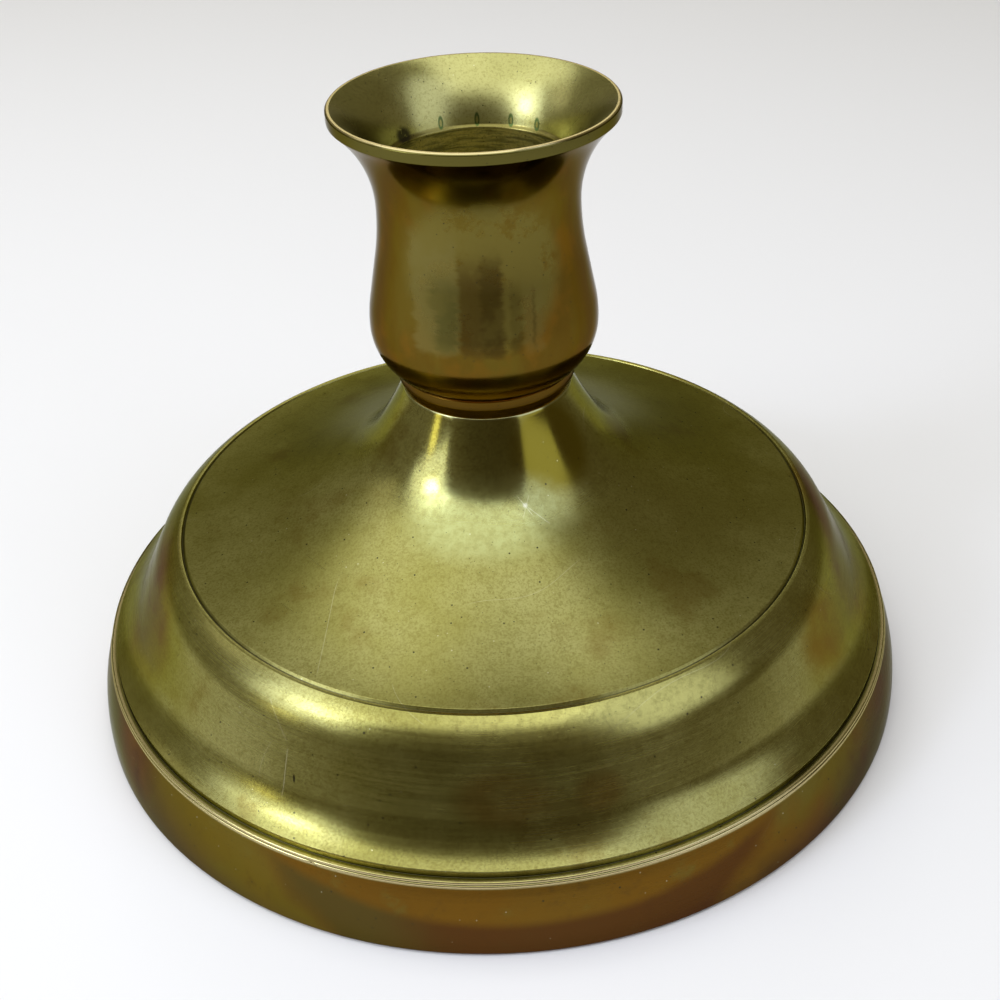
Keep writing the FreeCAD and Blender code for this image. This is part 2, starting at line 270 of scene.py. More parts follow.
class Graph:
    """A material's node tree, with one short call for each node."""

    def __init__(self, name):
        self.material = bpy.data.materials.new(name)
        self.material.use_nodes = True
        self.nodes = self.material.node_tree.nodes
        self.links = self.material.node_tree.links
        self.surface = next(node for node in self.nodes if node.type == "BSDF_PRINCIPLED")
        self.place = self.add("ShaderNodeTexCoord").outputs["Object"]

    def add(self, kind, **settings):
        node = self.nodes.new(kind)
        for key, value in settings.items():
            setattr(node, key, value)
        return node

    def feed(self, socket, value):
        if isinstance(value, bpy.types.NodeSocket):
            self.links.new(value, socket)
        else:
            socket.default_value = value

    def maths(self, operation, *values):
        node = self.add("ShaderNodeMath", operation=operation)
        for socket, value in zip(node.inputs, values):
            self.feed(socket, value)
        return node.outputs[0]

    def times(self, first, second):
        return self.maths("MULTIPLY", first, second)

    def plus(self, first, second):
        return self.maths("ADD", first, second)

    def minus(self, first, second):
        return self.maths("SUBTRACT", first, second)

    def vector(self, operation, *values):
        """A vector node's outputs: Vector, and Value for a length or a dot product."""
        node = self.add("ShaderNodeVectorMath", operation=operation)
        for socket, value in zip(node.inputs, values):
            self.feed(socket, value)
        return node.outputs

    def split(self, vector):
        node = self.add("ShaderNodeSeparateXYZ")
        self.feed(node.inputs[0], vector)
        return node.outputs

    def join(self, x, y, z):
        node = self.add("ShaderNodeCombineXYZ")
        for socket, value in zip(node.inputs, (x, y, z)):
            self.feed(socket, value)
        return node.outputs[0]

    def noise(self, kind, vector=None):
        """kind gives the noise's scale, detail and roughness."""
        node = self.add("ShaderNodeTexNoise")
        self.feed(node.inputs["Vector"], self.place if vector is None else vector)
        for key, value in zip(("Scale", "Detail", "Roughness"), kind):
            self.feed(node.inputs[key], value)
        return node.outputs["Fac"]

    def specks(self, spacing, reach, share):
        """1 in round specks: their usual spacing and half-width, in millimetres, and how many of
        the places have one."""
        spacing, reach = spacing * MM, reach * MM
        node = self.add("ShaderNodeTexVoronoi")
        self.feed(node.inputs["Vector"], self.place)
        self.feed(node.inputs["Scale"], 1 / spacing)
        distance = node.outputs["Distance"]
        near = self.between(distance, SPECK_CORE * reach / spacing, reach / spacing, 1.0, 0.0)
        chance = self.split(node.outputs["Color"])[0]
        return self.times(near, self.maths("LESS_THAN", chance, share))

    def hairs(self, scale, width, seed):
        """1 in a few thin wandering lines; width is a share of the noise's range."""
        shifted = self.vector("ADD", self.place, (seed, seed, seed))[0]
        line = self.band(self.noise((scale, *PLAIN_NOISE), shifted), 0.5 - width, 0.5 + width, width)
        piece = self.between(self.noise((HAIR_CUT_SCALE * scale, *PLAIN_NOISE), shifted), *HAIR_CUT)
        return self.times(line, piece)

    def spot(self, place, reach, edge):
        """1 inside an ellipsoid round a place, fading out over edge, a share of its reach."""
        off = self.vector("SUBTRACT", self.place, place)[0]
        far = self.vector("LENGTH", self.vector("DIVIDE", off, reach)[0])["Value"]
        return self.between(far, 1 - edge, 1.0, 1.0, 0.0)

    def scratch(self, first, last, outward, width):
        """1 on a thin line across the surface between two places; outward is the surface's normal."""
        along = last - first
        off = self.vector("SUBTRACT", self.place, first)[0]
        sideways = self.vector("DOT_PRODUCT", off, along.cross(outward).normalized())["Value"]
        share = self.vector("DOT_PRODUCT", off, along / along.length_squared)["Value"]
        thin = self.between(self.maths("ABSOLUTE", sideways), SCRATCH_CORE * width, width, 1.0, 0.0)
        ends = self.band(share, SCRATCH_FADE, 1 - SCRATCH_FADE, SCRATCH_FADE)
        near = self.spot((first + last) / 2, (along.length,) * 3, 0.1)
        return self.times(self.times(thin, ends), near)

    def blend(self, share, first, second):
        """Plain values, from first at 0 to second at 1."""
        node = self.add("ShaderNodeMix", data_type="FLOAT")
        self.feed(node.inputs[0], share)
        self.feed(node.inputs[2], first)
        self.feed(node.inputs[3], second)
        return node.outputs[0]

    def film(self, weight, roughness):
        """A thin clear film over the metal, which whitens what it mirrors."""
        self.surface.inputs["Coat Weight"].default_value = weight
        self.surface.inputs["Coat Roughness"].default_value = roughness

    def between(self, value, low, high, low_result=0.0, high_result=1.0):
        """Smooth step of a value from low to high."""
        node = self.add("ShaderNodeMapRange", interpolation_type="SMOOTHSTEP")
        self.feed(node.inputs["Value"], value)
        self.feed(node.inputs["From Min"], low)
        self.feed(node.inputs["From Max"], high)
        self.feed(node.inputs["To Min"], low_result)
        self.feed(node.inputs["To Max"], high_result)
        return node.outputs["Result"]

    def fade(self, value, span, first=0.0, last=1.0):
        """Smooth step over a span in millimetres."""
        return self.between(value, span[0] * MM, span[1] * MM, first, last)

    def turn(self, angle, span, first=0.0, last=1.0):
        """Smooth step over a span in degrees."""
        return self.between(angle, math.radians(span[0]), math.radians(span[1]), first, last)

    def band(self, value, low, high, edge):
        """1 where the value lies from low to high, fading over edge on both sides."""
        return self.times(self.between(value, low - edge, low + edge),
                          self.between(value, high - edge, high + edge, 1.0, 0.0))

    def strip(self, value, span, edge):
        """1 inside a span, fading over edge on both sides, all in millimetres."""
        return self.band(value, span[0] * MM, span[1] * MM, edge * MM)

    def mix(self, share, first, second):
        """Colours, from first at 0 to second at 1."""
        node = self.add("ShaderNodeMix", data_type="RGBA")
        sockets = [socket for socket in node.inputs if socket.type == "RGBA"]
        self.feed(node.inputs[0], share)
        self.feed(sockets[0], first)
        self.feed(sockets[1], second)
        return next(socket for socket in node.outputs if socket.type == "RGBA")

    def paint(self, colour, mask, tint, strength=None):
        """A colour with a tint over it where the mask is 1, as strong as strength says."""
        share = mask if strength is None else self.times(mask, strength)
        return self.mix(share, colour, tint)

    def bump(self, height, depth, after=None):
        """depth is the real height of the relief, in millimetres."""
        node = self.add("ShaderNodeBump")
        self.feed(node.inputs["Height"], height)
        self.feed(node.inputs["Distance"], depth * MM)
        if after is not None:
            self.feed(node.inputs["Normal"], after)
        return node.outputs["Normal"]

    def finish(self, colour, roughness, metallic=1.0, normal=None, edge_tint=None):
        self.feed(self.surface.inputs["Base Color"], colour)
        self.feed(self.surface.inputs["Roughness"], roughness)
        self.feed(self.surface.inputs["Metallic"], metallic)
        if edge_tint is not None:
            self.surface.inputs["Specular Tint"].default_value = edge_tint
        if normal is not None:
            self.feed(self.surface.inputs["Normal"], normal)
        return self.material


def rgba(red, green, blue):
    return (red, green, blue, 1.0)


def round_place(degrees, radius, height):
    """A place at an angle from +X towards +Y; radius and height in millimetres, result in metres."""
    turn = math.radians(degrees)
    return Vector((radius * math.cos(turn), radius * math.sin(turn), height)) * MM


# Noise in rings: how much it changes round a piece, and along it per metre
RINGS_ROUND = 2.0
RINGS_ALONG = 1700.0


def turned_places(graph):
    """Radius, height, and a vector in which noise runs round the piece in fine rings."""
    x, y, z = graph.split(graph.place)
    radius = graph.maths("SQRT", graph.plus(graph.times(x, x), graph.times(y, y)))
    along = graph.minus(radius, z)
    ring_x = graph.maths("DIVIDE", x, graph.maths("MAXIMUM", radius, MM))
    ring_y = graph.maths("DIVIDE", y, graph.maths("MAXIMUM", radius, MM))
    round_vector = graph.join(graph.times(ring_x, RINGS_ROUND), graph.times(ring_y, RINGS_ROUND),
                              graph.times(along, RINGS_ALONG))
    return radius, z, round_vector


# The floor takes this colour, the metals these
FLOOR_TINT = rgba(0.845, 0.82, 0.81)
OLIVE_BRASS = rgba(0.225, 0.205, 0.05)
GOLD_BRASS = rgba(0.305, 0.285, 0.095)
PALE_BRASS = rgba(0.38, 0.355, 0.13)
BROWN_BRASS = rgba(0.13, 0.078, 0.006)
ORANGE_BRASS = rgba(0.16, 0.08, 0.006)
DARK_BRASS = rgba(0.085, 0.045, 0.006)
BROWN_OLIVE = rgba(0.14, 0.112, 0.018)
NECK_YELLOW = rgba(0.165, 0.13, 0.008)
REED_BRASS = rgba(0.6, 0.5, 0.26)
# The next two paint highlights: on the sweep below the neck and on the rim's front
SWEEP_HIGHLIGHT_BRASS = rgba(0.35, 0.36, 0.145)
RIM_HIGHLIGHT_BRASS = rgba(0.37, 0.34, 0.1)
DIRT = rgba(0.035, 0.03, 0.012)
# Dust, also the colour of the painted glint
DUST_AND_GLINT = rgba(0.62, 0.6, 0.42)
VERDIGRIS = rgba(0.025, 0.065, 0.006)
# Pale green-white of the joint: verdigris, lightened as a painted highlight
VERDIGRIS_AND_HIGHLIGHT = rgba(0.34, 0.33, 0.16)
CUP_BROWN = rgba(0.115, 0.066, 0.005)
CUP_MIDDLE = rgba(0.125, 0.085, 0.008)
CUP_OLIVE = rgba(0.16, 0.127, 0.024)
CUP_SHADE = rgba(0.045, 0.03, 0.003)
CUP_AMBER = rgba(0.42, 0.22, 0.014)
COLLAR_BROWN = rgba(0.065, 0.036, 0.003)
COLLAR_AMBER = rgba(0.6, 0.3, 0.02)
COLUMN_BROWN = rgba(0.06, 0.03, 0.003)
STRIPE_GREEN = rgba(0.07, 0.068, 0.012)
CUP_GREY = rgba(0.185, 0.155, 0.045)
LIP_OLIVE = rgba(0.105, 0.09, 0.018)
INNER_BRASS = rgba(0.7, 0.62, 0.2)
FOOT_OLIVE = rgba(0.135, 0.096, 0.009)
FOOT_AMBER = rgba(0.155, 0.073, 0.003)
FOOT_SHADE = rgba(0.075, 0.055, 0.01)
# Maroon of the painted reflection on the foot wall's front
MAROON = rgba(0.075, 0.026, 0.004)
CAST_BROWN = rgba(0.15, 0.11, 0.05)
CAST_OLIVE = rgba(0.25, 0.2, 0.08)
STEEL = rgba(0.36, 0.35, 0.33)
RUST = rgba(0.12, 0.06, 0.03)
# How much of the metals' white sheen is left where they are seen edge on
EDGE_TINT = rgba(0.48, 0.45, 0.38)
BASE_EDGE_TINT = rgba(0.34, 0.35, 0.2)

# Noises: scale per metre, detail, roughness. The plain one takes its scale from the hairs.
PLAIN_NOISE = (0.0, 0.55)
GRAIN = (3000.0, 4.0, 0.75)
RING_MARKS = (1.0, 6.0, 0.7)
BASE_CLOUD = (45.0, 5.0, 0.6)
BASE_MOTTLE = (900.0, 5.0, 0.75)
BASE_STAINS = (70.0, 4.0, 0.6)
BASE_WAVES = (60.0, 2.0, 0.55)
FOOT_PATCHES = (34.0, 4.0, 0.55)
FOOT_RAGGED = (60.0, 4.0, 0.6)
FOOT_FLECKS = (180.0, 5.0, 0.7)
CAST_CLOUD = (60.0, 6.0, 0.7)
CAST_GRAIN = (700.0, 5.0, 0.7)
CUP_CLOUD = (95.0, 5.0, 0.65)
CUP_SMUDGES = (110.0, 4.0, 0.6)
CUP_RAGGED = (220.0, 5.0, 0.7)
CUP_BRUSHED = (200.0, 5.0, 0.6)
CUP_WAVES = (80.0, 2.0, 0.55)
BORE_CLOUD = (70.0, 5.0, 0.6)
CLUMP_HOLES = (900.0, 3.0, 0.55)
RUST_CLOUD = (260.0, 5.0, 0.65)
STEEL_GRAIN = (1500.0, 3.0, 0.55)
# How much the cup's cloud and its brushing change upwards, as shares of how much they do across
CUP_CLOUD_SHARE = 0.3
CUP_BRUSHED_SHARE = 6.0

# Where the base's surfaces meet, in millimetres of height, then of radius
FOOT_WALL_TOP = (9.8, 10.2)
REED_HEIGHTS = (10.0, 10.95)
REED_GROOVE = (10.48, 10.57)
JOINT_HEIGHTS = (SEAT - 0.22, SEAT + 0.5)
SHOULDER_START = (44.6, 45.0)
REED_START = (57.1, 57.25)
JOINT_START = (11.2, 11.35)
SATIN_START = (14, 21)
# Roughness of the neck, the dish and the shoulder, and how far marks and clouds change it
NECK_GLOSS = 0.13
DISH_SATIN = 0.3
SHOULDER_SATIN = 0.24
ROUGHNESS_SPREAD = (-0.02, 0.03)

# Specks of the base: spacing and half-width in millimetres, share of the places that have one
DARK_SPECKS = [(0.6, 0.07, 0.5), (1.6, 0.16, 0.4)]
BRIGHT_SPECKS = (1.7, 0.1, 0.5)
# Pale hairs: scale, width as a share of the noise's range, seed
HAIRS = (40.0, 0.0005, 7.0)
# Where the base's lines are painted darker, millimetres: inner and outer radius, low and high
DARK_GROOVES = [(44.58, 44.78, 26.3, 26.72), (56.65, 56.9, 10.75, 10.98), (57.5, 57.7, 10.48, 10.57)]
GROOVE_EDGE = 0.04
# A short gouge in the shoulder, metres
GOUGE_PLACE = (-0.0264, -0.0446, 0.017)
GOUGE_REACH = (0.0002, 0.0005, 0.0009)
# A yellower patch on the neck, metres
NECK_YELLOW_PLACE = (0.0082, -0.0116, 0.043)
NECK_YELLOW_REACH = (0.0072, 0.007, 0.008)
# Where the sweep below the neck is painted paler as a painted highlight, metres
SWEEP_HIGHLIGHT_PLACE = (-0.001, -0.019, 0.037)
SWEEP_HIGHLIGHT_REACH = (0.015, 0.0085, 0.0065)
# Finger smudges at the front of the shoulder, then painted shade that darkens it towards its left and right
# sides: degrees from +X, radius and height, reach, strength
SMUDGES_AND_SIDE_SHADE = [(-91.0, 51.3, 18.5, (7.5, 5.0, 5.0), 0.6), (-77.5, 51.5, 18.2, (4.2, 4.0, 3.6), 0.5),
           (-30.0, 50.5, 20.0, (9.0, 9.0, 7.0), 0.8), (-8.0, 51.0, 19.0, (9.0, 16.0, 9.0), 1.0),
           (-168.0, 50.0, 20.0, (9.0, 19.0, 10.0), 1.0), (2.0, 47.5, 25.0, (5.0, 16.0, 3.5), 1.0)]
# Where the rounded rim is painted paler at the front as a painted highlight: degrees from +X, radius,
# height, then reach
RIM_HIGHLIGHT_PLACE = (-76.0, 46.5, 25.2)
RIM_HIGHLIGHT_REACH = (30.0, 16.0, 3.6)
# Fine bright scratches, millimetres: two ends, the surface's normal there, half-width, strength. The last
# three are also the rays of a painted glint
SCRATCHES = [((-29.1, -37.6, 24.9), (-26.9, -42.3, 20.8), (-0.46, -0.68, 0.57), 0.07, 0.4),
             ((-26.9, -42.3, 20.8), (-28.3, -45.6, 14.5), (-0.44, -0.72, 0.53), 0.08, 0.55),
             ((2.9, -16.4, 38.7), (5.2, -18.5, 36.5), (0.16, -0.69, 0.71), 0.07, 0.4),
             ((4.7, -16.2, 38.6), (3.7, -18.9, 36.4), (0.16, -0.69, 0.71), 0.05, 0.35),
             ((4.2, -17.4, 37.5), (7.4, -19.0, 35.4), (0.19, -0.6, 0.77), 0.08, 0.35)]
# A painted glint where the last three meet, metres
GLINT_PLACE = (0.0041, -0.0174, 0.0376)
GLINT_REACH = (0.0005, 0.0005, 0.0005)

# Foot wall, its tarnish partly a painted reflection. Degrees from +X: where its olive starts, where its
# front starts and ends, and where the painted reflection turns from brown to maroon. The front's sides lean
# 10 degrees in 10 mm.
OLIVE_START = (-150, -142)
FRONT_START = (-115, -109)
FRONT_END = (-68, -62)
MAROON_START = (-108, -96)
FOOT_LEAN = math.radians(10) / (10 * MM)
FOOT_RAGGEDNESS = 0.03
FOOT_STRENGTH = 0.85
# Painted shade darkens the right side: from and to, millimetres along +X
PAINTED_SHADE_RIGHT = (10, 55)
# Lower edge of the amber crescent, a painted reflection: millimetres of height and rise, degrees of middle
# and half-width
CRESCENT_EDGE = (4.2, 6.0)
CRESCENT_RISE = 5
CRESCENT_MIDDLE = -88
CRESCENT_HALF_WIDTH = 35


def foot_wall_tarnish_and_reflection(graph):
    """Tarnish with painted reflection: mottled red-brown, olive and dark; at the front amber over maroon,
    left of that olive.
    """
    patches = graph.noise(FOOT_PATCHES)
    colour = graph.mix(graph.between(patches, 0.5, 0.62), ORANGE_BRASS, BROWN_OLIVE)
    colour = graph.paint(colour, graph.between(patches, 0.38, 0.48, 1.0, 0.0), DARK_BRASS)
    x, y, z = graph.split(graph.place)
    ragged = graph.noise(FOOT_RAGGED)
    shift = graph.between(ragged, 0.3, 0.7, -FOOT_RAGGEDNESS, FOOT_RAGGEDNESS)
    angle = graph.plus(graph.maths("ARCTAN2", y, x), shift)
    slant = graph.times(z, FOOT_LEAN)
    from_left, from_right = graph.plus(angle, slant), graph.minus(angle, slant)
    olive = graph.times(graph.turn(angle, OLIVE_START), graph.turn(from_left, FRONT_START, 1.0, 0.0))
    colour = graph.paint(colour, olive, FOOT_OLIVE, FOOT_STRENGTH)
    front = graph.times(graph.turn(from_left, FRONT_START), graph.turn(from_right, FRONT_END, 1.0, 0.0))
    colour = graph.paint(colour, front, FOOT_AMBER, FOOT_STRENGTH)
    flecks = graph.noise(FOOT_FLECKS)
    colour = graph.paint(colour, graph.between(flecks, 0.55, 0.75, 0.0, 0.6), BROWN_OLIVE)
    colour = graph.paint(colour, graph.between(flecks, 0.3, 0.45, 0.5, 0.0), DARK_BRASS)
    # Painted shade: darker towards the right
    colour = graph.paint(colour, graph.fade(x, PAINTED_SHADE_RIGHT, 0.0, 0.5), DARK_BRASS)
    # Painted reflection: an amber crescent over maroon across the front
    off_middle = graph.plus(angle, math.radians(-CRESCENT_MIDDLE))
    off_middle = graph.maths("DIVIDE", off_middle, math.radians(CRESCENT_HALF_WIDTH))
    rise = graph.times(graph.times(off_middle, off_middle), CRESCENT_RISE * MM)
    under = graph.fade(graph.minus(z, rise), CRESCENT_EDGE, FOOT_STRENGTH, 0.0)
    dark = graph.mix(graph.turn(angle, MAROON_START), FOOT_SHADE, MAROON)
    return graph.paint(colour, graph.times(under, front), dark)


def base_tarnish_and_painted_light(graph, cloud, grain, shoulder, z):
    """Olive to gold, with stains and finger smudges, painted shade on the shoulder's sides, painted
    highlights on the sweep and the rim, and browner down the foot wall with painted reflection.
    """
    colour = graph.mix(graph.between(cloud, 0.35, 0.7), OLIVE_BRASS, GOLD_BRASS)
    colour = graph.paint(colour, graph.between(grain, 0.42, 0.66, 0.0, 0.55), BROWN_OLIVE)
    mottle = graph.noise(BASE_MOTTLE)
    colour = graph.paint(colour, graph.between(mottle, 0.5, 0.68, 0.0, 0.4), BROWN_OLIVE)
    stains = graph.noise(BASE_STAINS)
    colour = graph.paint(colour, graph.between(stains, 0.56, 0.66, 0.0, 0.35), BROWN_BRASS)
    # The first two are finger smudges; the others are painted shade on the shoulder's sides
    for degrees, radius, height, reach, strength in SMUDGES_AND_SIDE_SHADE:
        smudge = graph.spot(round_place(degrees, radius, height), Vector(reach) * MM, 0.6)
        patchy = graph.between(stains, 0.35, 0.6, 0.4 * strength, strength)
        colour = graph.paint(colour, graph.times(smudge, patchy), ORANGE_BRASS)
    golden = graph.spot(NECK_YELLOW_PLACE, NECK_YELLOW_REACH, 0.4)
    colour = graph.paint(colour, golden, NECK_YELLOW, 0.95)
    # Painted highlight: the sweep in front of the neck is painted paler
    sweep = graph.spot(SWEEP_HIGHLIGHT_PLACE, SWEEP_HIGHLIGHT_REACH, 0.6)
    colour = graph.paint(colour, graph.times(sweep, graph.between(mottle, 0.35, 0.6, 0.9, 0.5)), SWEEP_HIGHLIGHT_BRASS)
    # Painted highlight: the rounded rim's front is painted paler
    rim_highlight = graph.spot(round_place(*RIM_HIGHLIGHT_PLACE), Vector(RIM_HIGHLIGHT_REACH) * MM, 0.7)
    rim_highlight = graph.times(rim_highlight, graph.between(mottle, 0.42, 0.62, 1.0, 0.5))
    colour = graph.paint(colour, graph.times(rim_highlight, shoulder), RIM_HIGHLIGHT_BRASS)
    return graph.paint(colour, graph.fade(z, FOOT_WALL_TOP, 1.0, 0.0), foot_wall_tarnish_and_reflection(graph))


def base_wear_and_glint(graph, colour, radius, z):
    """Specks, hairs, darker lines, a gouge, scratches and a painted glint."""
    for row in DARK_SPECKS:
        colour = graph.paint(colour, graph.specks(*row), DIRT)
    bright = graph.maths("MAXIMUM", graph.specks(*BRIGHT_SPECKS), graph.times(graph.hairs(*HAIRS), 0.5))
    colour = graph.paint(colour, bright, DUST_AND_GLINT, 0.55)
    # The base's lines are painted darker
    for inner, outer, low, high in DARK_GROOVES:
        groove = graph.times(graph.strip(radius, (inner, outer), GROOVE_EDGE),
                             graph.strip(z, (low, high), GROOVE_EDGE))
        colour = graph.paint(colour, groove, DIRT, 0.85)
    colour = graph.paint(colour, graph.spot(GOUGE_PLACE, GOUGE_REACH, 0.3), DIRT)
    for first, last, outward, width, strength in SCRATCHES:
        scratch = graph.scratch(Vector(first) * MM, Vector(last) * MM, Vector(outward), width * MM)
        colour = graph.paint(colour, scratch, DUST_AND_GLINT, strength)
    # Painted glint: a bright spot where the last three scratches meet
    return graph.paint(colour, graph.spot(GLINT_PLACE, GLINT_REACH, 0.9), DUST_AND_GLINT, 0.8)


def base_brass():
    """Satin olive brass, browner down the foot wall, with turning marks, specks and smudges, and painted
    highlights, shade and reflection.
    """
    graph = Graph("base_brass")
    radius, z, rings = turned_places(graph)
    cloud = graph.noise(BASE_CLOUD)
    grain = graph.noise(GRAIN)
    marks = graph.noise(RING_MARKS, rings)
    shoulder = graph.fade(radius, SHOULDER_START)
    colour = base_tarnish_and_painted_light(graph, cloud, grain, shoulder, z)
    colour = base_wear_and_glint(graph, colour, radius, z)
    reed = graph.times(graph.strip(z, REED_HEIGHTS, 0.05), graph.fade(radius, REED_START))
    shown = graph.minus(0.9, graph.strip(z, REED_GROOVE, 0.03))
    colour = graph.paint(colour, graph.times(reed, shown), REED_BRASS)
    # Joint ring: verdigris, painted pale as a painted highlight of its rounded edge
    joint = graph.times(graph.strip(z, JOINT_HEIGHTS, 0.06), graph.fade(radius, JOINT_START))
    colour = graph.paint(colour, joint, VERDIGRIS_AND_HIGHLIGHT, 0.8)
    # Marks run round the shoulder, less on the dish and neck, and not on the reeds
    unmarked = graph.maths("MAXIMUM", reed, graph.blend(shoulder, 0.6, 0.0))
    marks = graph.blend(unmarked, marks, 0.5)
    satin = graph.fade(radius, SATIN_START, NECK_GLOSS, DISH_SATIN)
    roughness = graph.blend(shoulder, satin, SHOULDER_SATIN)
    roughness = graph.plus(roughness, graph.between(marks, 0.35, 0.65, *ROUGHNESS_SPREAD))
    roughness = graph.plus(roughness, graph.between(cloud, 0.35, 0.7, *ROUGHNESS_SPREAD))
    normal = graph.bump(marks, 0.003)
    normal = graph.bump(grain, 0.0025, normal)
    normal = graph.bump(graph.noise(BASE_WAVES), 0.03, normal)
    graph.film(weight=0.15, roughness=0.2)
    return graph.finish(colour, roughness, normal=normal, edge_tint=BASE_EDGE_TINT)


def cast_brass():
    """The rough hollow under the base, left as it came from the mould."""
    graph = Graph("cast_brass")
    cloud = graph.between(graph.noise(CAST_CLOUD), 0.35, 0.7)
    colour = graph.mix(cloud, CAST_BROWN, CAST_OLIVE)
    normal = graph.bump(graph.noise(CAST_GRAIN), 0.12)
    return graph.finish(colour, graph.between(cloud, 0.0, 1.0, 0.5, 0.7), normal=normal)


# Heights on the cup, millimetres: where the belly's brown takes over from amber, the dark ring above
# the collar's slope, the top of that slope, the lip's outer edge and its top edge, rubbed and painted as a
# highlight
BELLY_BROWN = (SEAT + 4, SEAT + 7.5)
COLLAR_RING = (SEAT + 1.6, SEAT + 2.8)
SLOPE_TOP = (SEAT + 1.3, SEAT + 1.5)
LIP_START = (SEAT + 36.2, SEAT + 36.5)
LIP_TOP = (SEAT + 37.7, SEAT + 37.8)
CUP_SPECKS = (0.9, 0.1, 0.4)
# Where the cup's dark patina is rubbed through, metres
RUBBED_PLACE = (0.0, -0.0115, 0.0682)
RUBBED_REACH = (0.0108, 0.009, 0.0115)
# Upright bands of lighter and darker colour down the belly's front, in millimetres: from and to across,
# low and high, how ragged, strength, colour
BANDS = [(-8.6, -3.0, 58.5, 75.0, 0.4, 0.45, CUP_GREY), (-6.2, -3.2, 58.8, 69.5, 0.7, 0.55, STRIPE_GREEN),
         (-3.0, 2.4, 58.3, 72.0, 0.25, 0.6, COLUMN_BROWN), (-0.3, 2.2, 58.3, 72.8, 0.3, 0.4, CUP_SHADE),
         (3.2, 4.6, 58.5, 68.5, 0.2, 0.45, CUP_SHADE), (4.8, 7.3, 58.5, 69.0, 0.3, 0.3, CUP_GREY),
         (5.9, 6.3, 59.0, 68.0, 0.15, 0.45, CUP_SHADE)]
# The bands lie in front of here, and fade over so much at the foot and at the top, millimetres
BANDS_FRONT = (-6, -4)
BAND_FOOT_FADE = 0.6
BAND_TOP_FADE = 4.5


def cup_bands(graph, colour, ragged, smudge):
    """The upright bands, with brushed edges and fading tops."""
    x, y, z = graph.split(graph.place)
    brushed = graph.noise(CUP_BRUSHED, graph.join(x, y, graph.times(z, CUP_BRUSHED_SHARE)))
    shift = graph.between(brushed, 0.3, 0.7, -1.0 * MM, 1.0 * MM)
    upward = graph.plus(z, graph.between(ragged, 0.3, 0.7, -0.5 * MM, 0.5 * MM))
    facing = graph.fade(y, BANDS_FRONT, 1.0, 0.0)
    uneven = graph.times(facing, graph.between(smudge, 0.1, 0.7, 1.0, 0.6))
    for left, right, bottom, top, raggedness, strength, tint in BANDS:
        edge = min(0.3 + 0.5 * raggedness, (right - left) / 2)
        across = graph.plus(x, graph.times(shift, raggedness))
        up = graph.times(graph.fade(upward, (bottom - BAND_FOOT_FADE, bottom + BAND_FOOT_FADE)),
                         graph.fade(upward, (top - BAND_TOP_FADE, top), 1.0, 0.0))
        inside = graph.times(graph.strip(across, (left, right), edge), up)
        colour = graph.paint(colour, graph.times(inside, uneven), tint, strength)
    return colour


def cup_brass():
    """Browner turned brass, smudged and rubbed bright on the belly."""
    graph = Graph("cup_brass")
    _, z, rings = turned_places(graph)
    x, y, _ = graph.split(graph.place)
    upright = graph.join(x, y, graph.times(z, CUP_CLOUD_SHARE))
    cloud = graph.noise(CUP_CLOUD, upright)
    colour = graph.mix(graph.between(cloud, 0.42, 0.62), CUP_BROWN, CUP_MIDDLE)
    smudge = graph.between(graph.noise(CUP_SMUDGES), 0.5, 0.64, 0.0, 0.8)
    colour = graph.paint(colour, smudge, ORANGE_BRASS)
    colour = graph.paint(colour, graph.fade(z, BELLY_BROWN, 0.9, 0.0), CUP_AMBER)
    colour = graph.paint(colour, graph.strip(z, COLLAR_RING, 0.12), COLLAR_BROWN, 0.9)
    colour = graph.paint(colour, graph.fade(z, SLOPE_TOP, 0.9, 0.0), COLLAR_AMBER)
    ragged = graph.noise(CUP_RAGGED)
    rubbed = graph.spot(RUBBED_PLACE, RUBBED_REACH, 0.25)
    rubbed = graph.times(rubbed, graph.between(ragged, 0.36, 0.5, 0.2, 1.0))
    colour = graph.paint(colour, rubbed, CUP_OLIVE)
    colour = cup_bands(graph, colour, ragged, smudge)
    colour = graph.paint(colour, graph.fade(z, LIP_START), LIP_OLIVE)
    # The lip's top edge: rubbed wear, and a painted highlight along the arris
    colour = graph.paint(colour, graph.fade(z, LIP_TOP, 0.0, 0.85), REED_BRASS)
    colour = graph.paint(colour, graph.specks(*CUP_SPECKS), DIRT)
    normal = graph.bump(graph.noise(RING_MARKS, rings), 0.003)
    normal = graph.bump(graph.noise(CUP_WAVES), 0.02, normal)
    roughness = graph.between(cloud, 0.35, 0.65, 0.13, 0.2)
    roughness = graph.plus(roughness, graph.times(rubbed, 0.14))
    graph.film(weight=0.08, roughness=0.12)
    return graph.finish(colour, roughness, normal=normal, edge_tint=EDGE_TINT)


# Green spots round the bore's edge: degrees from +X, then radius, height and reach in millimetres
SPOT_ANGLES = (111.0, 88.5, 67.5, 49.5)
SPOT_PLACE = (12.3, 78.3)
SPOT_REACH = (0.4, 0.7, 1.25)
# A dark clump of old wax beside them
CLUMP_ANGLE = 139.0
CLUMP_PLACE = (12.6, 78.1)
CLUMP_REACH = (1.8, 1.8, 1.5)
# Heights of the bore's top and of its dark edge, millimetres
BORE_TOP = (SEAT + 29.9, SEAT + 30.1)
BORE_EDGE = (SEAT + 29.95, SEAT + 30.6)
BORE_DARK_SPECKS = (0.8, 0.1, 0.5)
BORE_BRIGHT_SPECKS = (1.4, 0.09, 0.4)
BORE_SATIN = 0.42


